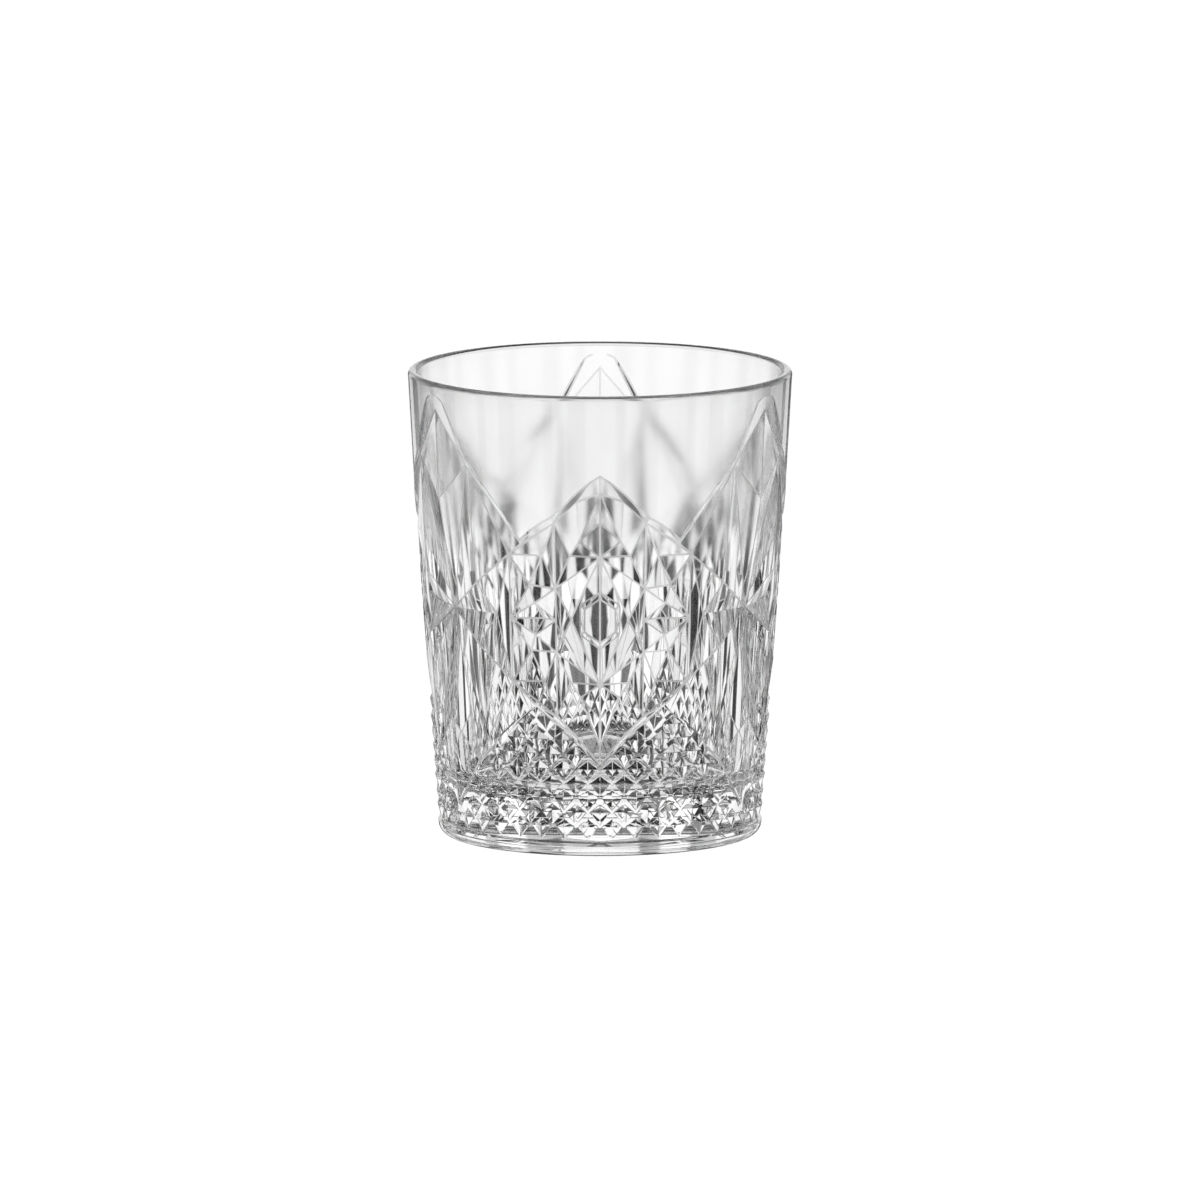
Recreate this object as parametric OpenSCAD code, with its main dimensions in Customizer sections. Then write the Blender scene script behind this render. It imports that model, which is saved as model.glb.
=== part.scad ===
// Heavy pressed-glass tumbler, made as one piece of glass with no separate parts.
// The origin is the centre of the foot ring on the table, +Z is up and the front is -Y.
// Angles run from the front towards +X. The pattern repeats every 120 degrees: a kite with a
// hexagonal boss stands at 0 degrees and a tall spear at 60 degrees, each mirrored left to right.

/* [Body] */
// Height from the table to the top of the lip
height = 104.5; // [103:0.5:107]
// Outer diameter across the lip
rim_d = 86; // [85:0.5:88]
// Outer diameter at the foot, before the heel is rounded
foot_d = 71.8; // [71:0.2:73]
// Swelling of the wall at mid height, over a straight cone
belly = 0.35; // [0.2:0.05:0.5]
// Thickness of the glass at the lip
lip_t = 2.3; // [2:0.1:2.6]
// Thickness of the glass under the drink
floor_t = 12.5; // [11:0.5:14]

/* [Pattern] */
// Depth of the facets and diamonds, as a share of full depth
relief = 1; // [0.7:0.05:1]
// Diamonds in one turn of the lower band, a multiple of six
diamonds = 42; // [36:6:48]
// Size of a diamond in its cell, the rest is the channel between diamonds
diamond_fill = 0.84; // [0.7:0.02:0.9]

/* [Hidden] */
$fn = 168;                  // sides of each turned surface when drawn

// Wall and floor
mid_z = 0.515 * height;     // the pattern is mirrored about this height
belly_reach = 50;           // the swelling fades out this far from mid height
taper = (rim_d - foot_d) / 2 / height;
heel_r = 2.8;               // rounding between wall and foot ring
punt_r = 30.5;              // hollow underside, inside the flat foot ring
punt_depth = 1.6;
lip_r = 1.1;                // fire-polished rounding on both edges of the lip
well_r = 31.4;              // inner radius of the wall, carried down to the floor
corner_r = 5;               // rounding between inner wall and floor
arc_steps = 6;
punt_steps = 8;

// Lower band of diamonds
rows = 9;
row_z = 6.8;                // height of the lowest row of centres
row_gap = 3.3;
cell_a = 360 / diamonds;
channel_e = -1 * relief;  // channels between the diamonds, measured from the wall
peak_e = -0.1 * relief;
sunk_e = -3.2;              // where the motif covers the band, well under its surface
peak_room = 2;              // a diamond needs this much room under the motif's edge
ledge = [3, 0.9];           // height and offset of the ledge over the foot

// Corners of the pattern: [angle, height above mid_z, offset from the wall]. The offsets are
// negative, into the glass. Those in the plain zone over the pattern are positive, so the
// surface leaves the wall on its way there and the wall's own surface shows above.
kite_top = [0, 14.4, -0.1];
kite_side = [9.8, 0, -2.3];
kite_mid = [4.9, 7.2, -1.35];
crown_top = [0, 28.7, -1.3];
crown_arch = [7.5, 26.8, -0.7];
crown_mid = [0, 22.2, -0.15];
crown_dip = [6.8, 17.7, -2.2];
crown_tooth = [14.5, 22, -0.35];
inner_step = [10, 14.4, -2.2];
outer_step = [19.4, 14.2, -2.2];
star_b = [14.3, 7.2, -0.1];
star_b_side = [14.2, 0, -0.15];
wing = [24.3, 7.4, -2.4];
wing_dip = [21.7, 3.6, -0.8];
wing_tip = [19.2, 0, -2.6];
post_top = [30, 14.4, -0.2];
post_mid = [30, 0, -0.1];
valley = [25.5, 17, -0.2];
notch = [22, 19.5, -0.4];
tip_b = [0, 32.9, -0.6];
spear_side = [46, 33.4, -0.35];
spear_tip = [60, 44.7, -0.3];
spear_mid = [60, 24.7, -0.1];
star_a = [60, 0, -2.7];
star_a_ray = [43.6, 7.1, -0.5];
star_a_low = [38, 0, -2.8];
boss_top = [0, 6.5, -0.7];
boss_side = [6.5, 3.35, -1.7];
boss_flank = [6.5, 0, -1.75];
field_top = [0, 5, -0.2];
field_side = [5, 2.6, -0.6];
field_flank = [5, 0, -0.6];
field_mid = [0, 0, -0.05];
over_crown = [0, 34.2, 0.5];
over_arch = [9, 28.9, 0.5];
over_tooth = [17.4, 24.4, 0.5];
over_valley = [26.5, 20, 0.5];
over_low = [34.5, 27, 0.45];
over_spear = [46, 37.7, 0.6];
over_tip = [60, 53.4, 0.6];

// Facets above mid_z in one sixth of a turn. The same ones are mirrored below it.
motif_facets = [
    [crown_top, crown_mid, crown_dip], [crown_top, crown_arch, crown_dip],
    [crown_arch, crown_tooth, crown_dip], [crown_mid, crown_dip, kite_top],
    [crown_dip, inner_step, kite_top], [crown_tooth, crown_dip, inner_step],
    [kite_top, inner_step, star_b], [inner_step, crown_tooth, star_b],
    [crown_tooth, outer_step, star_b], [outer_step, wing, star_b],
    [crown_tooth, post_top, outer_step],
    [outer_step, post_top, wing], [wing, post_top, post_mid],
    [star_b, wing, wing_dip], [wing, post_mid, wing_dip],
    [wing_dip, post_mid, wing_tip], [star_b, wing_dip, star_b_side],
    [star_b_side, wing_dip, wing_tip], [star_b, star_b_side, kite_side],
    [kite_mid, star_b, kite_side], [kite_top, star_b, kite_mid],
    [kite_top, kite_mid, boss_top], [kite_mid, boss_side, boss_top],
    [kite_mid, kite_side, boss_side], [kite_side, boss_flank, boss_side],
    [boss_top, boss_side, field_side], [boss_top, field_side, field_top],
    [boss_side, boss_flank, field_flank], [boss_side, field_flank, field_side],
    [field_top, field_side, field_mid], [field_side, field_flank, field_mid],
    [post_top, star_a_low, post_mid], [post_top, star_a_ray, star_a_low],
    [star_a_ray, star_a, star_a_low], [spear_side, star_a, star_a_ray],
    [spear_side, star_a_ray, post_top], [spear_side, spear_mid, star_a],
    [spear_side, spear_tip, spear_mid],
];
// Upper half only: sloping shoulder between the pattern and the plain glass over it
shoulder_facets = [
    [crown_tooth, valley, post_top], [valley, spear_side, post_top],
    [crown_top, over_crown, crown_arch], [crown_arch, over_crown, over_arch],
    [crown_arch, over_arch, crown_tooth], [crown_tooth, over_arch, over_tooth],
    [crown_tooth, over_tooth, valley], [valley, over_tooth, over_valley],
    [valley, over_valley, over_low], [valley, over_low, spear_side],
    [spear_side, over_low, over_spear], [spear_side, over_spear, over_tip],
    [spear_side, over_tip, spear_tip],
];
// Lower half only: plain border below the crown
border_facets = [
    [crown_tooth, notch, post_top], [notch, spear_side, post_top],
    [crown_top, tip_b, crown_arch], [crown_arch, tip_b, notch], [crown_arch, notch, crown_tooth],
];
over_line = [over_crown, over_arch, over_tooth, over_valley, over_low, over_spear, over_tip];
edge_line = [tip_b, notch, spear_side, spear_tip];

function wall_r(z) = foot_d / 2 + taper * z + belly * (1 - pow((z - mid_z) / belly_reach, 2));
function snap(x) = round(x * 10000) / 10000;
// A point on the wall: angle and height, moved out by an offset
function on_wall(a, z, e) = let (r = wall_r(z) + e) [snap(r * sin(a)), snap(-r * cos(a)), snap(z)];
function depth(e) = e < 0 ? e * relief : e;

// A facet's corners run clockwise as seen from outside
function plan_turn(t) =
    (t[1][0] - t[0][0]) * (t[2][1] - t[0][1]) - (t[2][0] - t[0][0]) * (t[1][1] - t[0][1]);
function facet(t) = let (s = plan_turn(t) > 0 ? [t[0], t[2], t[1]] : t)
    [for (p = s) on_wall(p[0], mid_z + p[1], p[2])];

// A pattern corner in one of the six sixths (turn 0 to 2, side 1 or -1), above or below mid_z
function place(p, turn, side, half) = [120 * turn + side * p[0], half * p[1], depth(p[2])];
function placed(list, turn, side, half) =
    [for (t = list) facet([for (p = t) place(p, turn, side, half)])];

// Two facets between neighbouring points of a line and the same points moved to another line
function strip(p, q, p2, q2) = [facet([p, q, q2]), facet([p, q2, p2])];
// A facet from a line to the axis, closing the top (up = 1) or the bottom (up = -1)
function cap(p, q, z, up) = let (
    a = on_wall(p[0], mid_z + p[1], p[2]), b = on_wall(q[0], mid_z + q[1], q[2]),
    forward = (q[0] - p[0]) * up > 0)
    forward ? [[0, 0, z], b, a] : [[0, 0, z], a, b];

// Where the motif's solid goes on above the lip, and where it ends inside the lower band
top_cap_z = height + 10;
low_cap_z = 5;
function raised(p) = [p[0], top_cap_z - mid_z, 4];
function sunk(p) = [p[0], p[1] - 1.2, -4];

function sixth(turn, side) = concat(
    placed(motif_facets, turn, side, 1),
    placed(motif_facets, turn, side, -1),
    placed(shoulder_facets, turn, side, 1),
    placed(border_facets, turn, side, -1),
    [for (i = [0:len(over_line) - 2]) let (
        p = place(over_line[i], turn, side, 1), q = place(over_line[i + 1], turn, side, 1))
        each concat(strip(p, q, raised(p), raised(q)), [cap(raised(p), raised(q), top_cap_z, 1)])],
    [for (i = [0:len(edge_line) - 2]) let (
        p = place(edge_line[i], turn, side, -1), q = place(edge_line[i + 1], turn, side, -1))
        each concat(strip(p, q, sunk(p), sunk(q)), [cap(sunk(p), sunk(q), low_cap_z, -1)])]
);

module facets(list) {
    polyhedron(
        points = [for (t = list) each t],
        faces = [for (i = [0:len(list) - 1]) [3 * i, 3 * i + 1, 3 * i + 2]]
    );
}

// The faceted motif: kites, spears and stars, and the shoulder over them
module motif() {
    facets([for (turn = [0:2]) for (side = [1, -1]) each sixth(turn, side)]);
}

// Height of the motif's lower edge at an angle, above the table
function edge_z(a) = let (b = abs((a + 60) - 120 * floor((a + 60) / 120) - 60))
    mid_z - lookup(b, [for (p = edge_line) [p[0], p[1]]]);
function channel(a, z) = [a, z - mid_z, z < edge_z(a) + 1.5 ? channel_e : sunk_e];

// One cell of the diamond band: a pyramid with a channel round it, or a plain cell
function cell(a, z) = let (
    w = cell_a / 2, f = diamond_fill, raised = z + peak_room < edge_z(a),
    outer = [channel(a + w, z), channel(a, z + row_gap), channel(a - w, z), channel(a, z - row_gap)],
    inner = [channel(a + f * w, z), channel(a, z + f * row_gap),
             channel(a - f * w, z), channel(a, z - f * row_gap)],
    top = raised ? [a, z - mid_z, peak_e] : channel(a, z))
    [for (i = [0:3]) let (j = (i + 1) % 4)
        each raised
            ? concat([facet([inner[i], inner[j], top])], strip(outer[i], outer[j], inner[i], inner[j]))
            : [facet([outer[i], outer[j], top])]];

function row_angle(k, j) = cell_a * (j + (k % 2 == 0 ? 0.5 : 0));

// The lower band of diamonds on its channelled wall, with the ledge down to the foot
module diamond_band() {
    top_z = row_z + rows * row_gap;
    low_z = row_z - row_gap;
    facets(concat(
        [for (k = [0:rows - 1]) for (j = [0:diamonds - 1])
            each cell(row_angle(k, j), row_z + k * row_gap)],
        [for (j = [0:diamonds - 1]) let (
            a = row_angle(0, j), b = row_angle(0, j + 1), m = (a + b) / 2,
            p = channel(a, low_z), q = channel(b, low_z),
            p2 = [a, ledge[0] - mid_z, ledge[1]], q2 = [b, ledge[0] - mid_z, ledge[1]],
            p3 = [a, -1 - mid_z, ledge[1]], q3 = [b, -1 - mid_z, ledge[1]])
            each concat([facet([p, q, channel(m, row_z)])], strip(p, q, p2, q2),
                strip(p2, q2, p3, q3), [cap(p3, q3, -1, -1)])],
        [for (j = [0:diamonds - 1]) let (
            a = row_angle(rows - 1, j), b = row_angle(rows - 1, j + 1), m = (a + b) / 2,
            p = channel(a, top_z), q = channel(b, top_z))
            each [facet([p, q, channel(m, top_z - row_gap)]), cap(p, q, top_z, 1)]]
    ));
}

// Points of a rounding about centre c, from angle a to angle b
function rounding(c, r, a, b, steps = arc_steps) =
    [for (i = [0:steps]) let (t = a + (b - a) * i / steps) c + r * [cos(t), sin(t)]];

// The plain outer form that the pattern is pressed into: heel, wall and outer lip
module blank() {
    wall_steps = 5;
    lean = atan(taper);
    z0 = heel_r;
    z1 = height - lip_r;
    rotate_extrude() polygon(concat(
        [for (i = [0:punt_steps]) let (t = i / punt_steps) [punt_r * t, punt_depth * (1 - t * t)]],
        rounding([wall_r(z0) - heel_r, heel_r], heel_r, -90, -lean),
        [for (i = [1:wall_steps - 1]) let (z = z0 + (z1 - z0) * i / wall_steps) [wall_r(z), z]],
        rounding([wall_r(z1) - lip_r, z1], lip_r, -lean, 90),
        [[0, height]]
    ));
}

// The space for the drink, with a rounded floor corner, opening out over the inner lip
module well() {
    in_r = rim_d / 2 - lip_t;
    lean = atan((in_r - well_r) / (height - floor_t));
    corner = [well_r + corner_r * tan(lean) - corner_r / cos(lean), floor_t + corner_r];
    lip = [in_r + lip_r / cos(lean), height - lip_r];
    rotate_extrude() polygon(concat(
        [[0, floor_t]],
        rounding(corner, corner_r, -90, -lean),
        rounding(lip, lip_r, 180 - lean, 90),
        [[lip[0], height + 5], [0, height + 5]]
    ));
}

module glass_body() {
    color([0.86, 0.9, 0.91, 0.5]) difference() {
        intersection() {
            blank();
            union() {
                motif();
                diamond_band();
            }
        }
        well();
    }
}

glass_body();
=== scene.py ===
import math

import bmesh
import bpy
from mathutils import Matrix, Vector


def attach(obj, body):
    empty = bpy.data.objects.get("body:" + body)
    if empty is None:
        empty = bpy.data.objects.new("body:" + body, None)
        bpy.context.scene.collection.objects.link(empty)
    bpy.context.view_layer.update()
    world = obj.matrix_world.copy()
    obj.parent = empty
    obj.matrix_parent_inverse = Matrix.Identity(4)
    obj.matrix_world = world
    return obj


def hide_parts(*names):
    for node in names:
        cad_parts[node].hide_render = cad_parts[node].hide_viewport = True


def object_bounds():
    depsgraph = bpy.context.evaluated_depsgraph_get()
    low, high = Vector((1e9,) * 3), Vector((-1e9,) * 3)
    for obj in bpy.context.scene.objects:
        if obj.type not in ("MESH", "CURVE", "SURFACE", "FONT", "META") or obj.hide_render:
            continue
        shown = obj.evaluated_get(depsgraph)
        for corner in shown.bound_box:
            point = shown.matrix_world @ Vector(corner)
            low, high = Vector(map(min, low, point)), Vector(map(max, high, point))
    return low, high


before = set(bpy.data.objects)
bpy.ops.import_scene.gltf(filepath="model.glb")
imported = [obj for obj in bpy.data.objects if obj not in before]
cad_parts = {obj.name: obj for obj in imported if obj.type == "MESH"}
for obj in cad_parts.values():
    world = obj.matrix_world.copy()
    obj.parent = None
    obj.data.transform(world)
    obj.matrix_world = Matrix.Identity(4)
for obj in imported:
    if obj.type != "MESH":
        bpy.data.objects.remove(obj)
cad_low, cad_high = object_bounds()

# ---------------------------------------------------------------- plain wall, lip and foot
# The plain form that the hot glass takes in its mould: a wall that widens slowly to a rounded
# lip, a rounded heel, and a foot ring round a shallow hollow, so that it stands without rocking.
mm = 0.001
height = cad_high.z
lip_radius = cad_high.x
foot_radius = 35.9 * mm
belly = 0.35 * mm
belly_reach = 50 * mm
mid_z = 0.515 * height
heel_round = 2.8 * mm
lip_round = 1.1 * mm
hollow_radius = 30.5 * mm
hollow_depth = 1.6 * mm
turned_sides = 252
taper = (lip_radius - foot_radius) / height


def wall_radius(z):
    return foot_radius + taper * z + belly * (1 - ((z - mid_z) / belly_reach) ** 2)


def arc(centre, radius, start, end, steps):
    angles = [start + (end - start) * i / steps for i in range(steps + 1)]
    return [(centre[0] + radius * math.cos(a), centre[1] + radius * math.sin(a)) for a in angles]


def turned(name, profile):
    """A closed solid of revolution. The profile runs from the axis, round the outside, to the axis."""
    bm = bmesh.new()
    rings = []
    for radius, z in profile:
        if radius < 1e-9:
            rings.append([bm.verts.new((0, 0, z))])
            continue
        angles = [math.tau * i / turned_sides for i in range(turned_sides)]
        rings.append([bm.verts.new((radius * math.sin(a), -radius * math.cos(a), z)) for a in angles])
    for low, high in zip(rings, rings[1:]):
        for i in range(turned_sides):
            j = (i + 1) % turned_sides
            corners = [low[i % len(low)], low[j % len(low)], high[j % len(high)], high[i % len(high)]]
            bm.faces.new(list(dict.fromkeys(corners)))
    bmesh.ops.recalc_face_normals(bm, faces=bm.faces)
    mesh = bpy.data.meshes.new(name)
    bm.to_mesh(mesh)
    bm.free()
    solid = bpy.data.objects.new(name, mesh)
    bpy.context.scene.collection.objects.link(solid)
    return solid


lean = math.atan(taper)
wall_low, wall_high = heel_round, height - lip_round
wall_steps = 24
hollow_steps = 12
hollow = [
    (hollow_radius * i / hollow_steps, hollow_depth * (1 - (i / hollow_steps) ** 2))
    for i in range(hollow_steps + 1)
]
heel = arc((wall_radius(wall_low) - heel_round, heel_round), heel_round, -math.pi / 2, -lean, 10)
wall = [
    (wall_radius(z), z)
    for z in (wall_low + (wall_high - wall_low) * i / wall_steps for i in range(1, wall_steps))
]
outer_lip = arc((wall_radius(wall_high) - lip_round, wall_high), lip_round, -lean, math.pi / 2, 16)
blank = turned("blank", hollow + heel + wall + outer_lip + [(0, height)])

# ---------------------------------------------------------------- drink space
# The inside is formed by the plunger, which is plain: a straight wall that opens out over the
# rounded inner lip, and a thick flat floor with a rounded corner.
lip_thickness = 2.3 * mm
floor_height = 12.5 * mm
well_radius = 31.4 * mm
corner_round = 5 * mm
inner_radius = lip_radius - lip_thickness
well_lean = math.atan((inner_radius - well_radius) / (height - floor_height))
corner_centre = (
    well_radius + corner_round * math.tan(well_lean) - corner_round / math.cos(well_lean),
    floor_height + corner_round,
)
lip_centre = (inner_radius + lip_round / math.cos(well_lean), height - lip_round)
corner = arc(corner_centre, corner_round, -math.pi / 2, -well_lean, 20)
inner_lip = arc(lip_centre, lip_round, math.pi - well_lean, math.pi / 2, 16)
floor_flat = (corner_centre[0] - 0.5 * mm, floor_height)
inner_steps = 30
inner_wall = [
    (corner[-1][0] + (inner_lip[0][0] - corner[-1][0]) * i / inner_steps,
     corner[-1][1] + (inner_lip[0][1] - corner[-1][1]) * i / inner_steps)
    for i in range(1, inner_steps)
]
over_lip = height + 5 * mm
well = turned(
    "well",
    [(0, floor_height), floor_flat] + corner + inner_wall + inner_lip
    + [(lip_centre[0], over_lip), (0, over_lip)],
)

# ---------------------------------------------------------------- pressed motif
# The facets are cut in the mould's wall: kites with a hexagonal boss, and tall spears between
# them. One sixth of a turn is drawn here, from the middle of a kite to the middle of a spear.
# A corner is (degrees from the kite, mm above mid height, mm out from the wall).
kite_top = (0, 14.4, -0.1)
kite_side = (9.8, 0, -2.3)
kite_mid = (4.9, 7.2, -1.35)
crown_top = (0, 28.7, -1.3)
crown_arch = (7.5, 26.8, -0.7)
crown_mid = (0, 22.2, -0.15)
crown_dip = (6.8, 17.7, -2.2)
crown_tooth = (14.5, 22, -0.35)
inner_step = (10, 14.4, -2.2)
outer_step = (19.4, 14.2, -2.2)
star_b = (14.3, 7.2, -0.1)
star_b_side = (14.2, 0, -0.15)
wing = (24.3, 7.4, -2.4)
wing_dip = (21.7, 3.6, -0.8)
wing_tip = (19.2, 0, -2.6)
post_top = (30, 14.4, -0.2)
post_mid = (30, 0, -0.1)
valley = (25.5, 17, -0.2)
notch = (22, 19.5, -0.4)
tip_b = (0, 32.9, -0.6)
spear_side = (46, 33.4, -0.35)
spear_tip = (60, 44.7, -0.3)
spear_mid = (60, 24.7, -0.1)
star_a = (60, 0, -2.7)
star_a_ray = (43.6, 7.1, -0.5)
star_a_low = (38, 0, -2.8)
boss_top = (0, 6.5, -0.7)
boss_side = (6.5, 3.35, -1.7)
boss_flank = (6.5, 0, -1.75)
field_top = (0, 5, -0.2)
field_side = (5, 2.6, -0.6)
field_flank = (5, 0, -0.6)
field_mid = (0, 0, -0.05)
over_crown = (0, 34.2, 0.5)
over_arch = (9, 28.9, 0.5)
over_tooth = (17.4, 24.4, 0.5)
over_valley = (26.5, 20, 0.5)
over_low = (34.5, 27, 0.45)
over_spear = (46, 37.7, 0.6)
over_tip = (60, 53.4, 0.6)

motifs = 3
motif_facets = [
    (crown_top, crown_mid, crown_dip), (crown_top, crown_arch, crown_dip),
    (crown_arch, crown_tooth, crown_dip), (crown_mid, crown_dip, kite_top),
    (crown_dip, inner_step, kite_top), (crown_tooth, crown_dip, inner_step),
    (kite_top, inner_step, star_b), (inner_step, crown_tooth, star_b),
    (crown_tooth, outer_step, star_b), (outer_step, wing, star_b),
    (crown_tooth, post_top, outer_step),
    (outer_step, post_top, wing), (wing, post_top, post_mid),
    (star_b, wing, wing_dip), (wing, post_mid, wing_dip),
    (wing_dip, post_mid, wing_tip), (star_b, wing_dip, star_b_side),
    (star_b_side, wing_dip, wing_tip), (star_b, star_b_side, kite_side),
    (kite_mid, star_b, kite_side), (kite_top, star_b, kite_mid),
    (kite_top, kite_mid, boss_top), (kite_mid, boss_side, boss_top),
    (kite_mid, kite_side, boss_side), (kite_side, boss_flank, boss_side),
    (boss_top, boss_side, field_side), (boss_top, field_side, field_top),
    (boss_side, boss_flank, field_flank), (boss_side, field_flank, field_side),
    (field_top, field_side, field_mid), (field_side, field_flank, field_mid),
    (post_top, star_a_low, post_mid), (post_top, star_a_ray, star_a_low),
    (star_a_ray, star_a, star_a_low), (spear_side, star_a, star_a_ray),
    (spear_side, star_a_ray, post_top), (spear_side, spear_mid, star_a),
    (spear_side, spear_tip, spear_mid),
]
shoulder_facets = [
    (crown_tooth, valley, post_top), (valley, spear_side, post_top),
    (crown_top, over_crown, crown_arch), (crown_arch, over_crown, over_arch),
    (crown_arch, over_arch, crown_tooth), (crown_tooth, over_arch, over_tooth),
    (crown_tooth, over_tooth, valley), (valley, over_tooth, over_valley),
    (valley, over_valley, over_low), (valley, over_low, spear_side),
    (spear_side, over_low, over_spear), (spear_side, over_spear, over_tip),
    (spear_side, over_tip, spear_tip),
]
border_facets = [
    (crown_tooth, notch, post_top), (notch, spear_side, post_top),
    (crown_top, tip_b, crown_arch), (crown_arch, tip_b, notch), (crown_arch, notch, crown_tooth),
]
above_lip = 10 * mm
out_above_lip = 4 * mm
under_edge = 1.2
under_wall = 4 * mm
under_pole = 5 * mm
over_line = [over_crown, over_arch, over_tooth, over_valley, over_low, over_spear, over_tip]
edge_line = [tip_b, notch, spear_side, spear_tip]


def on_wall(degrees, z, out):
    a = math.radians(degrees)
    radius = wall_radius(z) + out
    return Vector((radius * math.sin(a), -radius * math.cos(a), z))


def upper(corner):
    return on_wall(corner[0], mid_z + corner[1] * mm, corner[2] * mm)


def lower(corner):
    return on_wall(corner[0], mid_z - corner[1] * mm, corner[2] * mm)


def raised(corner):
    return on_wall(corner[0], height + above_lip, out_above_lip)


def sunk(corner):
    return on_wall(corner[0], mid_z - (corner[1] + under_edge) * mm, -under_wall)


def sloping(line, near, far, pole):
    """Facets from a line of corners to the same corners moved by far, and from there to the axis."""
    made = []
    for p, q in zip(line, line[1:]):
        made += [(near(p), near(q), far(q)), (near(p), far(q), far(p)), (far(p), far(q), pole)]
    return made


sixth_facets = [[upper(c) for c in f] for f in motif_facets + shoulder_facets]
sixth_facets += [[lower(c) for c in f] for f in motif_facets + border_facets]
sixth_facets += sloping(over_line, upper, raised, Vector((0, 0, height + above_lip)))
sixth_facets += sloping(edge_line, lower, sunk, Vector((0, 0, under_pole)))
sixth_bm = bmesh.new()
for facet in sixth_facets:
    sixth_bm.faces.new([sixth_bm.verts.new(p) for p in facet])
sixth_mesh = bpy.data.meshes.new("motif")
sixth_bm.to_mesh(sixth_mesh)
sixth_bm.free()
motif = bpy.data.objects.new("motif", sixth_mesh)
bpy.context.scene.collection.objects.link(motif)


def add_node(tree, kind, place=(0, 0), values=None, **settings):
    node = tree.nodes.new(kind)
    node.location = place
    for name, value in settings.items():
        setattr(node, name, value)
    for socket, value in (values or {}).items():
        node.inputs[socket].default_value = value
    return node


def add_input(tree, name, kind, default=None):
    socket = tree.interface.new_socket(name, in_out="INPUT", socket_type=kind)
    if default is not None:
        socket.default_value = default
    return socket


def maths(tree, operation, a, b=0.0, place=(0, 0)):
    node = add_node(tree, "ShaderNodeMath", place, operation=operation)
    for socket, value in zip(node.inputs, (a, b)):
        if isinstance(value, (int, float)):
            socket.default_value = value
        else:
            tree.links.new(value, socket)
    return node.outputs[0]


turning = bpy.data.node_groups.new("mirror and turn", "GeometryNodeTree")
turning.is_modifier = True
add_input(turning, "Geometry", "NodeSocketGeometry")
turns_socket = add_input(turning, "Turns", "NodeSocketInt", motifs)
turning_finish = add_input(turning, "Material", "NodeSocketMaterial")
turning.interface.new_socket("Geometry", in_out="OUTPUT", socket_type="NodeSocketGeometry")
given = add_node(turning, "NodeGroupInput", (-900, 0))
made = add_node(turning, "NodeGroupOutput", (900, 0))
mirrored = add_node(turning, "GeometryNodeTransform", (-700, -150), {"Scale": (-1, 1, 1)})
both = add_node(turning, "GeometryNodeJoinGeometry", (-500, 0))
spots = add_node(turning, "GeometryNodePoints", (-500, 250))
angle = add_node(turning, "GeometryNodeInputIndex", (-700, -400))
turned_by = add_node(turning, "ShaderNodeCombineXYZ", (-300, -400))
copies = add_node(turning, "GeometryNodeInstanceOnPoints", (-100, 0))
real = add_node(turning, "GeometryNodeRealizeInstances", (150, 0))
welded = add_node(turning, "GeometryNodeMergeByDistance", (350, 0), {"Distance": 1e-6})
finish_node = add_node(turning, "GeometryNodeSetMaterial", (600, 0))
share = maths(turning, "DIVIDE", math.tau, given.outputs["Turns"], (-700, -550))
turning.links.new(maths(turning, "MULTIPLY", angle.outputs[0], share, (-500, -400)), turned_by.inputs["Z"])
turning.links.new(given.outputs["Geometry"], mirrored.inputs["Geometry"])
turning.links.new(given.outputs["Geometry"], both.inputs[0])
turning.links.new(mirrored.outputs["Geometry"], both.inputs[0])
turning.links.new(given.outputs["Turns"], spots.inputs["Count"])
turning.links.new(spots.outputs[0], copies.inputs["Points"])
turning.links.new(both.outputs[0], copies.inputs["Instance"])
turning.links.new(turned_by.outputs[0], copies.inputs["Rotation"])
turning.links.new(copies.outputs[0], real.inputs[0])
turning.links.new(real.outputs[0], welded.inputs[0])
turning.links.new(welded.outputs[0], finish_node.inputs["Geometry"])
turning.links.new(given.outputs["Material"], finish_node.inputs["Material"])
turning.links.new(finish_node.outputs[0], made.inputs[0])

glass = bpy.data.materials.new("clear pressed glass")


def made_real(piece, outward=True):
    """Turns what the piece's modifiers make into its plain mesh, faces pointing outwards."""
    evaluated = piece.evaluated_get(bpy.context.evaluated_depsgraph_get())
    mesh = bpy.data.meshes.new_from_object(evaluated)
    piece.modifiers.clear()
    piece.data = mesh
    if outward:
        bm = bmesh.new()
        bm.from_mesh(mesh)
        bmesh.ops.remove_doubles(bm, verts=bm.verts, dist=1e-7)
        bmesh.ops.recalc_face_normals(bm, faces=bm.faces)
        bm.to_mesh(mesh)
        bm.free()


repeat = motif.modifiers.new("mirror and turn", "NODES")
repeat.node_group = turning
repeat[turns_socket.identifier] = motifs
repeat[turning_finish.identifier] = glass
made_real(motif)

# ---------------------------------------------------------------- band of small diamonds
# Below the motif the mould is cut with crossing grooves, which leave rows of small pointed
# diamonds, staggered like bricks, with plain channels between them and a ledge over the foot.
diamonds = 42
rows = 9
row_height = 6.8 * mm
row_gap = 3.3 * mm
diamond_fill = 0.84
channel_depth = 1.0 * mm
peak_height = 0.9 * mm
root_depth = 1.2 * mm
peak_room = 2.0 * mm
ledge_height = 3 * mm
ledge_slope = 0.5 * mm
below_foot = 1 * mm
outside_wall = 2 * mm
channel_top = 12 * mm
channel_steps = 3
covered = 0.8 * mm


def edge_above(degrees):
    """Height of the motif's lower edge at an angle round the tumbler."""
    from_kite = abs((degrees + 60) % 120 - 60)
    for a, b in zip(edge_line, edge_line[1:]):
        if from_kite <= b[0] + 1e-9:
            share = (from_kite - a[0]) / (b[0] - a[0])
            return mid_z - (a[1] + (b[1] - a[1]) * share) * mm


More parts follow.
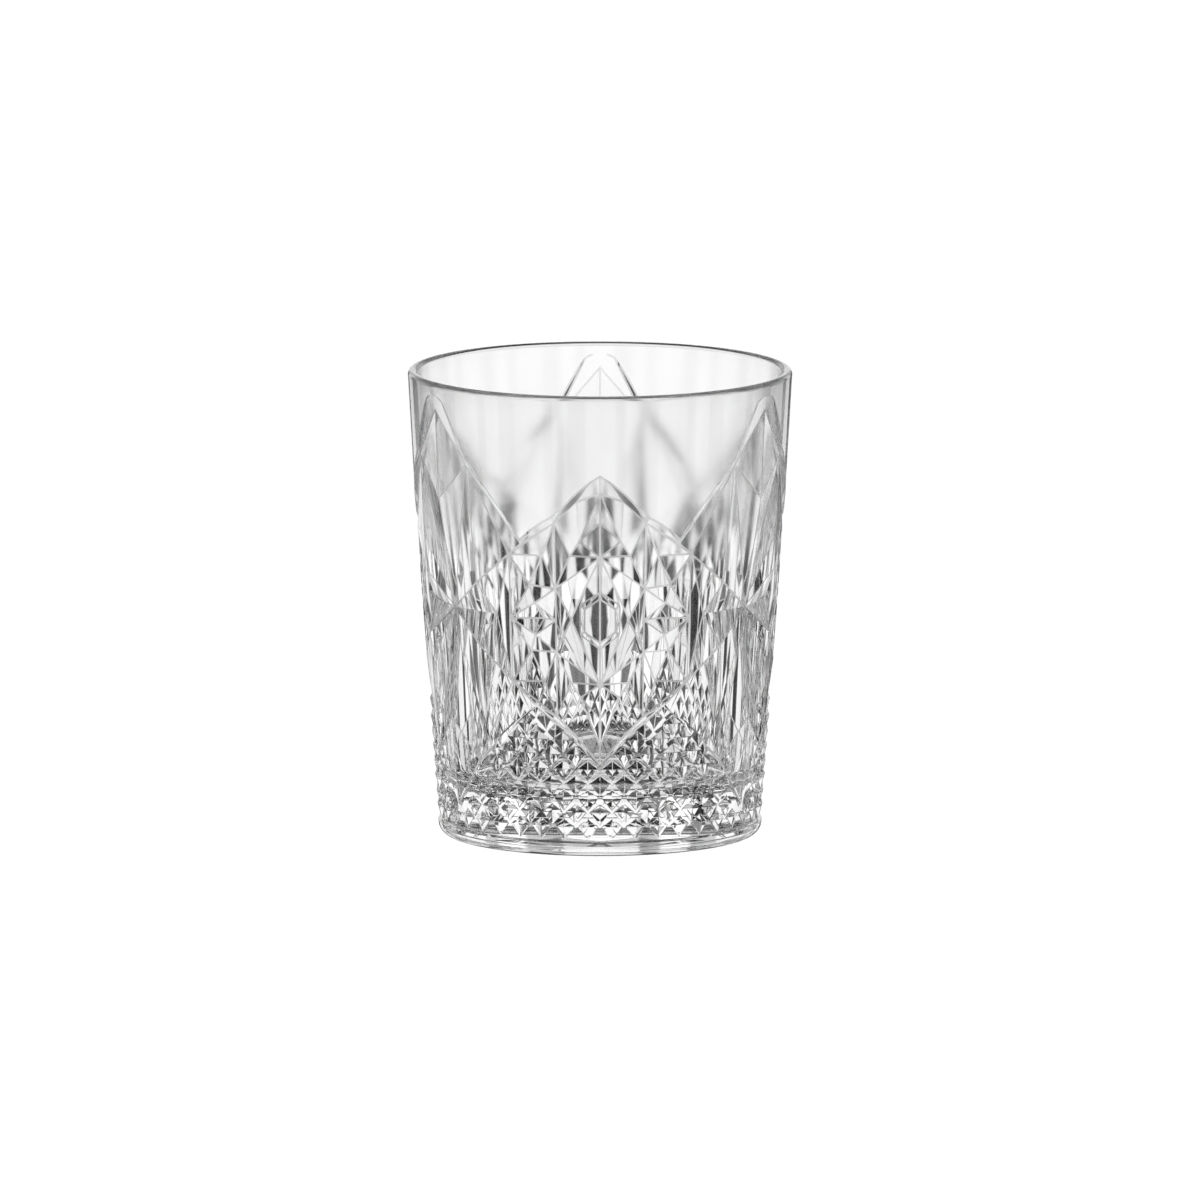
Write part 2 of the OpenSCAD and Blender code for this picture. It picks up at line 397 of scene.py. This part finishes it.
channel_bm = bmesh.new()
channel_low = channel_bm.verts.new((0, 0, -below_foot))
channel_high = channel_bm.verts.new((0, 0, channel_top))
columns = []
for i in range(turned_sides):
    degrees = 360 * i / turned_sides
    top = edge_above(degrees) + covered
    column = [on_wall(degrees, z, ledge) for z, ledge in (
        (-below_foot, outside_wall), (ledge_height, outside_wall),
        (ledge_height + ledge_slope, -channel_depth),
    )]
    foot_of_channel = column[-1].z
    span = top - foot_of_channel
    for k in range(1, channel_steps + 1):
        column.append(on_wall(degrees, foot_of_channel + span * k / channel_steps, -channel_depth))
    columns.append([channel_bm.verts.new(p) for p in column])
for left, right in zip(columns, columns[1:] + columns[:1]):
    channel_bm.faces.new((channel_low, right[0], left[0]))
    channel_bm.faces.new((channel_high, left[-1], right[-1]))
    for k in range(len(left) - 1):
        channel_bm.faces.new((left[k], right[k], right[k + 1], left[k + 1]))
bmesh.ops.recalc_face_normals(channel_bm, faces=channel_bm.faces)
channel_mesh = bpy.data.meshes.new("channel")
channel_bm.to_mesh(channel_mesh)
channel_bm.free()
channel = bpy.data.objects.new("channel", channel_mesh)
bpy.context.scene.collection.objects.link(channel)

diamond_bm = bmesh.new()
half_width = wall_radius(mid_z) * math.pi / diamonds * diamond_fill
half_height = row_gap * diamond_fill
rim = [(half_width, 0), (0, half_height), (-half_width, 0), (0, -half_height)]
base_corners = [diamond_bm.verts.new((x, 0, z)) for x, z in rim]
root_corners = [diamond_bm.verts.new((x, root_depth, z)) for x, z in rim]
peak = diamond_bm.verts.new((0, -peak_height, 0))
for i in range(4):
    j = (i + 1) % 4
    diamond_bm.faces.new((base_corners[i], base_corners[j], peak))
    diamond_bm.faces.new((base_corners[i], base_corners[j], root_corners[j], root_corners[i]))
diamond_bm.faces.new(root_corners)
bmesh.ops.recalc_face_normals(diamond_bm, faces=diamond_bm.faces)
diamond_mesh = bpy.data.meshes.new("diamond")
diamond_bm.to_mesh(diamond_mesh)
diamond_bm.free()
diamond_band = bpy.data.objects.new("diamond_band", diamond_mesh)
bpy.context.scene.collection.objects.link(diamond_band)

studding = bpy.data.node_groups.new("staggered diamonds", "GeometryNodeTree")
studding.is_modifier = True
add_input(studding, "Geometry", "NodeSocketGeometry")
stud_sockets = {
    name: (add_input(studding, name, kind), value)
    for name, kind, value in (
        ("Round", "NodeSocketInt", diamonds),
        ("Rows", "NodeSocketInt", rows),
        ("First Row", "NodeSocketFloat", row_height),
        ("Row Gap", "NodeSocketFloat", row_gap),
        ("Room", "NodeSocketFloat", peak_room),
        ("Material", "NodeSocketMaterial", glass),
    )
}
studding.interface.new_socket("Geometry", in_out="OUTPUT", socket_type="NodeSocketGeometry")
given = add_node(studding, "NodeGroupInput", (-1600, 0))
made = add_node(studding, "NodeGroupOutput", (1200, 0))
index = add_node(studding, "GeometryNodeInputIndex", (-1600, -300)).outputs[0]
lattice = add_node(studding, "GeometryNodePoints", (-1000, 200))
studding.links.new(
    maths(studding, "MULTIPLY", given.outputs["Round"], given.outputs["Rows"], (-1300, 200)),
    lattice.inputs["Count"],
)
row = maths(studding, "FLOOR", maths(studding, "DIVIDE", index, given.outputs["Round"], (-1400, -300)),
            place=(-1250, -300))
column = maths(studding, "MODULO", index, given.outputs["Round"], (-1250, -450))
stagger = maths(studding, "MULTIPLY",
                maths(studding, "MODULO", maths(studding, "ADD", row, 1.0, (-1100, -300)), 2.0, (-950, -300)),
                0.5, (-800, -300))
turn = maths(studding, "MULTIPLY", maths(studding, "ADD", column, stagger, (-650, -350)),
             maths(studding, "DIVIDE", math.tau, given.outputs["Round"], (-650, -500)), (-500, -350))
level = maths(studding, "ADD", given.outputs["First Row"],
              maths(studding, "MULTIPLY", row, given.outputs["Row Gap"], (-650, -200)), (-500, -200))
from_kite = maths(studding, "PINGPONG", turn, math.pi / 3, (-300, -500))


def edge_height(a, b):
    """Height of the motif's lower edge on the straight stretch between two of its corners."""
    slope = (b[1] - a[1]) * mm / math.radians(a[0] - b[0])
    start = mid_z - a[1] * mm - slope * math.radians(a[0])
    return maths(studding, "ADD", maths(studding, "MULTIPLY", from_kite, slope), start)


stretches = [edge_height(a, b) for a, b in zip(edge_line, edge_line[1:])]
lowest = maths(studding, "MINIMUM", maths(studding, "MINIMUM", stretches[0], stretches[1]), stretches[2])
clear = maths(studding, "LESS_THAN", maths(studding, "ADD", level, given.outputs["Room"]), lowest)
swell = maths(studding, "POWER",
              maths(studding, "DIVIDE", maths(studding, "SUBTRACT", level, mid_z), belly_reach), 2.0)
out = maths(studding, "ADD",
            maths(studding, "MULTIPLY", level, taper),
            maths(studding, "SUBTRACT", foot_radius + belly - channel_depth,
                  maths(studding, "MULTIPLY", swell, belly)))
spot = add_node(studding, "ShaderNodeCombineXYZ", (100, 0))
studding.links.new(maths(studding, "MULTIPLY", out, maths(studding, "SINE", turn)), spot.inputs["X"])
studding.links.new(
    maths(studding, "MULTIPLY", out,
          maths(studding, "MULTIPLY", maths(studding, "COSINE", turn), -1.0)),
    spot.inputs["Y"],
)
studding.links.new(level, spot.inputs["Z"])
facing = add_node(studding, "ShaderNodeCombineXYZ", (100, -200), {"X": -lean})
studding.links.new(turn, facing.inputs["Z"])
stretch = add_node(studding, "ShaderNodeCombineXYZ", (100, -400), {"Y": 1.0, "Z": 1.0})
studding.links.new(maths(studding, "DIVIDE", out, wall_radius(mid_z)), stretch.inputs["X"])
placed = add_node(studding, "GeometryNodeSetPosition", (300, 200))
studs = add_node(studding, "GeometryNodeInstanceOnPoints", (500, 0))
real = add_node(studding, "GeometryNodeRealizeInstances", (750, 0))
finish_node = add_node(studding, "GeometryNodeSetMaterial", (950, 0))
studding.links.new(lattice.outputs[0], placed.inputs["Geometry"])
studding.links.new(spot.outputs[0], placed.inputs["Position"])
studding.links.new(placed.outputs[0], studs.inputs["Points"])
studding.links.new(clear, studs.inputs["Selection"])
studding.links.new(given.outputs["Geometry"], studs.inputs["Instance"])
studding.links.new(facing.outputs[0], studs.inputs["Rotation"])
studding.links.new(stretch.outputs[0], studs.inputs["Scale"])
studding.links.new(studs.outputs[0], real.inputs[0])
studding.links.new(real.outputs[0], finish_node.inputs["Geometry"])
studding.links.new(given.outputs["Material"], finish_node.inputs["Material"])
studding.links.new(finish_node.outputs[0], made.inputs[0])
studded = diamond_band.modifiers.new("staggered diamonds", "NODES")
studded.node_group = studding
for socket, value in stud_sockets.values():
    studded[socket.identifier] = value
made_real(diamond_band)

# ---------------------------------------------------------------- the tumbler, in one piece
# The glass is pressed in one go and then fire-polished, which melts every edge a little. The forms
# above become one solid. Each ridge of the motif gets a narrow flat rounding, which handling has
# dulled so that it shows as a pale line, and the diamonds keep crisper edges.
edge_round = 0.22 * mm
diamond_edge_share = 0.4
ridge_from = math.radians(6)
soft_below = math.radians(3)
turned_soft_below = math.radians(40)
deepest_cut = 3.2 * mm
clear_of_lip = 3 * mm
clear_of_ledge = 0.1 * mm
over_edge = 0.3 * mm
edge_dullness = 0.5


def combine(piece, other, operation):
    cut = piece.modifiers.new(operation.lower(), "BOOLEAN")
    cut.operation = operation
    cut.object = other
    cut.solver = "MANIFOLD"
    made_real(piece)
    bpy.data.objects.remove(other)


def on_pattern(point):
    """Whether a point is on the pressed outside, clear of the lip, the heel and the drink space."""
    if not ledge_height - clear_of_ledge < point.z < height - clear_of_lip:
        return False
    return math.hypot(point.x, point.y) > wall_radius(point.z) - deepest_cut


def in_motif(point):
    degrees = math.degrees(math.atan2(point.x, -point.y))
    return on_pattern(point) and point.z > edge_above(degrees) - over_edge


tumbler = channel
tumbler.name = "tumbler"
combine(tumbler, diamond_band, "UNION")
combine(tumbler, motif, "UNION")
combine(tumbler, blank, "INTERSECT")
combine(tumbler, well, "DIFFERENCE")
ridge_bm = bmesh.new()
ridge_bm.from_mesh(tumbler.data)
rounded = ridge_bm.edges.layers.float.new("bevel_weight_edge")
for face in ridge_bm.faces:
    face.material_index = 0
for edge in ridge_bm.edges:
    middle_point = (edge.verts[0].co + edge.verts[1].co) / 2
    if edge.calc_face_angle(0) > ridge_from and on_pattern(middle_point):
        edge[rounded] = 1.0 if in_motif(middle_point) else diamond_edge_share
ridge_bm.to_mesh(tumbler.data)
ridge_bm.free()
# The second slot only marks the faces that the rounding makes. They go back to the first one below.
tumbler.data.materials.clear()
tumbler.data.materials.append(glass)
tumbler.data.materials.append(bpy.data.materials.new("rounded ridge"))
rounding = tumbler.modifiers.new("fire polish", "BEVEL")
rounding.width = edge_round
rounding.segments = 1
rounding.limit_method = "WEIGHT"
rounding.use_clamp_overlap = False
rounding.material = 1
made_real(tumbler, outward=False)
soft_bm = bmesh.new()
soft_bm.from_mesh(tumbler.data)
dulled = soft_bm.faces.layers.float.new("dulled ridge")
for face in soft_bm.faces:
    face.smooth = True
    face[dulled] = float(face.material_index == 1 and in_motif(face.calc_center_median()))
    face.material_index = 0
for edge in soft_bm.edges:
    middle_point = (edge.verts[0].co + edge.verts[1].co) / 2
    limit = soft_below if on_pattern(middle_point) else turned_soft_below
    edge.smooth = edge.calc_face_angle(0) < limit
soft_bm.to_mesh(tumbler.data)
soft_bm.free()

# Clear soda-lime glass. The plunger leaves the inside a little less polished, most of all above
# the motif, and the wall has the faint waves that pressed glass always has.
inside_low_rough = 0.02
inside_high_rough = 0.17
rough_from = 58 * mm
rough_to = 74 * mm
inside_margin = 0.3 * mm
floor_margin = 0.5 * mm
mottle_scale = 90.0
wave_scale = 55.0
wave_height = 0.03 * mm
glass.use_nodes = True
glass_nodes = glass.node_tree
shader = glass_nodes.nodes["Principled BSDF"]
shader.inputs["Base Color"].default_value = (1, 1, 1, 1)
shader.inputs["Transmission Weight"].default_value = 1.0
shader.inputs["IOR"].default_value = 1.52
place_node = add_node(glass_nodes, "ShaderNodeTexCoord", (-1400, 0))
place_split = add_node(glass_nodes, "ShaderNodeSeparateXYZ", (-1200, 0))
glass_nodes.links.new(place_node.outputs["Object"], place_split.inputs[0])
radius_now = maths(
    glass_nodes, "SQRT",
    maths(glass_nodes, "ADD", maths(glass_nodes, "POWER", place_split.outputs["X"], 2.0),
          maths(glass_nodes, "POWER", place_split.outputs["Y"], 2.0)),
)
well_line = maths(
    glass_nodes, "ADD",
    maths(glass_nodes, "MULTIPLY", place_split.outputs["Z"], math.tan(well_lean)),
    well_radius + inside_margin - floor_height * math.tan(well_lean),
)
inside = maths(
    glass_nodes, "MULTIPLY", maths(glass_nodes, "LESS_THAN", radius_now, well_line),
    maths(glass_nodes, "GREATER_THAN", place_split.outputs["Z"], floor_height - floor_margin),
)
inside_rough = add_node(
    glass_nodes, "ShaderNodeMapRange", (-800, -200),
    {"From Min": rough_from, "From Max": rough_to, "To Min": inside_low_rough, "To Max": inside_high_rough},
)
glass_nodes.links.new(place_split.outputs["Z"], inside_rough.inputs["Value"])
mottle = add_node(glass_nodes, "ShaderNodeTexNoise", (-1000, -450), {"Scale": mottle_scale, "Detail": 2.0})
glass_nodes.links.new(place_node.outputs["Object"], mottle.inputs["Vector"])
mottled = maths(glass_nodes, "ADD", mottle.outputs[0], 0.5)
ridge_seen = add_node(glass_nodes, "ShaderNodeAttribute", (-800, -700), attribute_name="dulled ridge")
inside_even = maths(glass_nodes, "MULTIPLY", inside, inside_rough.outputs[0])
inside_now = maths(glass_nodes, "MULTIPLY", inside_even, mottled)
ridge_now = maths(glass_nodes, "MULTIPLY", ridge_seen.outputs["Fac"], edge_dullness)
glass_nodes.links.new(maths(glass_nodes, "ADD", inside_now, ridge_now), shader.inputs["Roughness"])
waves = add_node(glass_nodes, "ShaderNodeTexNoise", (-1000, -900), {"Scale": wave_scale, "Detail": 1.0})
glass_nodes.links.new(place_node.outputs["Object"], waves.inputs["Vector"])
wavy = add_node(glass_nodes, "ShaderNodeBump", (-500, -900), {"Strength": 1.0, "Distance": wave_height})
glass_nodes.links.new(waves.outputs[0], wavy.inputs["Height"])
glass_nodes.links.new(wavy.outputs[0], shader.inputs["Normal"])
tumbler.data.materials.clear()
tumbler.data.materials.append(glass)
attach(tumbler, "root")
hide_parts("glass_body")

# ---------------------------------------------------------------- studio
# A white table and a white background, which only the camera sees. The glass is lit by a bright
# surround with two dark strips standing in every 45 degrees of it, and with dark rings steep down
# and high up, so that its facets and its lip have something dark to bend.
table_size = 6.0
table_gap = 0.2 * mm
table_bm = bmesh.new()
bmesh.ops.create_grid(table_bm, x_segments=1, y_segments=1, size=table_size)
table_mesh = bpy.data.meshes.new("table")
table_bm.to_mesh(table_mesh)
table_bm.free()
table = bpy.data.objects.new("table", table_mesh)
table.location.z = -table_gap
table.visible_transmission = False
table.visible_glossy = False
table.visible_diffuse = False
bpy.context.scene.collection.objects.link(table)
table_finish = bpy.data.materials.new("white table")
table_finish.use_nodes = True
table_shader = table_finish.node_tree.nodes["Principled BSDF"]
table_shader.inputs["Base Color"].default_value = (0.2, 0.2, 0.2, 1)
table_shader.inputs["Emission Color"].default_value = (1, 1, 1, 1)
table_shader.inputs["Emission Strength"].default_value = 1.0
table_shader.inputs["Roughness"].default_value = 0.9
table.data.materials.append(table_finish)

bays = 8
max_bounces = 32
mirror_bounces = 16
# Stops are (degrees, grey): across one bay from its middle, and upward from level. The middle stops
# say how fully the strips show at each height.
across_stops = [
    (-22.5, 1.0), (-16.2, 1.0), (-15, 0.0), (-10.3, 0.0), (-9.2, 0.84),
    (8.3, 0.84), (9.5, 0.0), (19, 0.0), (20.5, 1.0), (22.5, 1.0),
]
upward_stops = [
    (-90, 0.9), (-68, 0.9), (-60, 0.05), (-37, 0.05), (-32, 0.85), (-25, 0.97), (-18, 0.82),
    (-14, 0.85), (-11.5, 1.0), (13, 1.0), (17, 0.5), (24, 0.05), (68, 0.05), (80, 0.4), (90, 0.5),
]
middle_stops = [(-90, 0.0), (-70, 0.2), (-50, 1.0), (-2, 1.0), (6, 0.5), (35, 0.5), (60, 0.5), (90, 0.0)]
surround_strength = 1.48


def ramp(tree, fraction, stops, whole, place):
    """A grey that follows an angle: the stops are (degrees from the middle, grey)."""
    node = add_node(tree, "ShaderNodeValToRGB", place)
    elements = node.color_ramp.elements
    while len(elements) > 1:
        elements.remove(elements[-1])
    for i, (angle, grey) in enumerate(stops):
        position = 0.5 + angle / whole
        stop = elements.new(position) if i else elements[0]
        stop.position = position
        stop.color = (grey, grey, grey, 1)
    tree.links.new(fraction, node.inputs[0])
    return node.outputs[0]


world = bpy.data.worlds.new("studio")
bpy.context.scene.world = world
world.use_nodes = True
surround = world.node_tree
surround.nodes.clear()
direction = add_node(surround, "ShaderNodeTexCoord", (-1600, 0))
split = add_node(surround, "ShaderNodeSeparateXYZ", (-1400, 0))
surround.links.new(direction.outputs["Generated"], split.inputs[0])
bearing = maths(surround, "ARCTAN2", split.outputs["X"], split.outputs["Y"], (-1200, 0))
bay = math.tau / bays
turns = maths(surround, "ADD", maths(surround, "DIVIDE", bearing, bay), 0.5)
within = maths(surround, "FRACT", maths(surround, "ADD", turns, bays))
across = ramp(surround, within, across_stops, 360 / bays, (-600, 0))
climb = maths(surround, "ARCSINE", split.outputs["Z"])
level_share = maths(surround, "ADD", maths(surround, "DIVIDE", climb, math.pi), 0.5)
upward = ramp(surround, level_share, upward_stops, 180, (-600, -300))
middle = ramp(surround, level_share, middle_stops, 180, (-600, -600))
missing = maths(surround, "MULTIPLY", maths(surround, "SUBTRACT", 1.0, across), middle)
background = add_node(surround, "ShaderNodeBackground", (0, 0))
plain = add_node(surround, "ShaderNodeBackground", (0, -200), {"Color": (1, 1, 1, 1), "Strength": 1.0})
seen = add_node(surround, "ShaderNodeLightPath", (0, 300))
lit = maths(surround, "MULTIPLY", upward, maths(surround, "SUBTRACT", 1.0, missing))
lit = maths(surround, "MULTIPLY", lit, surround_strength)
surround.links.new(lit, background.inputs["Strength"])
choice = add_node(surround, "ShaderNodeMixShader", (300, 0))
surround.links.new(seen.outputs["Is Camera Ray"], choice.inputs[0])
surround.links.new(background.outputs[0], choice.inputs[1])
surround.links.new(plain.outputs[0], choice.inputs[2])
world_out = add_node(surround, "ShaderNodeOutputWorld", (500, 0))
surround.links.new(choice.outputs[0], world_out.inputs[0])

scene = bpy.context.scene
scene.view_settings.view_transform = "Standard"
scene.cycles.max_bounces = max_bounces
scene.cycles.transmission_bounces = max_bounces
scene.cycles.glossy_bounces = mirror_bounces

# ---------------------------------------------------------------- camera
# A long lens from far off, a little above the tumbler's middle, so that its sides stay straight.
camera_distance = 8.0
camera_elevation = math.radians(8.85)
aim = Vector((0, 0, 52.4 * mm))
frame_width = 267.4 * mm
lens_data = bpy.data.cameras.new("camera")
lens_data.sensor_width = 36
lens_data.lens = 36 * camera_distance / frame_width
lens_data.clip_start = 0.1
lens_data.clip_end = 40
camera = bpy.data.objects.new("camera", lens_data)
back = Vector((0, -math.cos(camera_elevation), math.sin(camera_elevation)))
camera.location = aim + back * camera_distance
camera.rotation_mode = "QUATERNION"
camera.rotation_quaternion = (-back).to_track_quat("-Z", "Y")
scene.collection.objects.link(camera)
scene.camera = camera
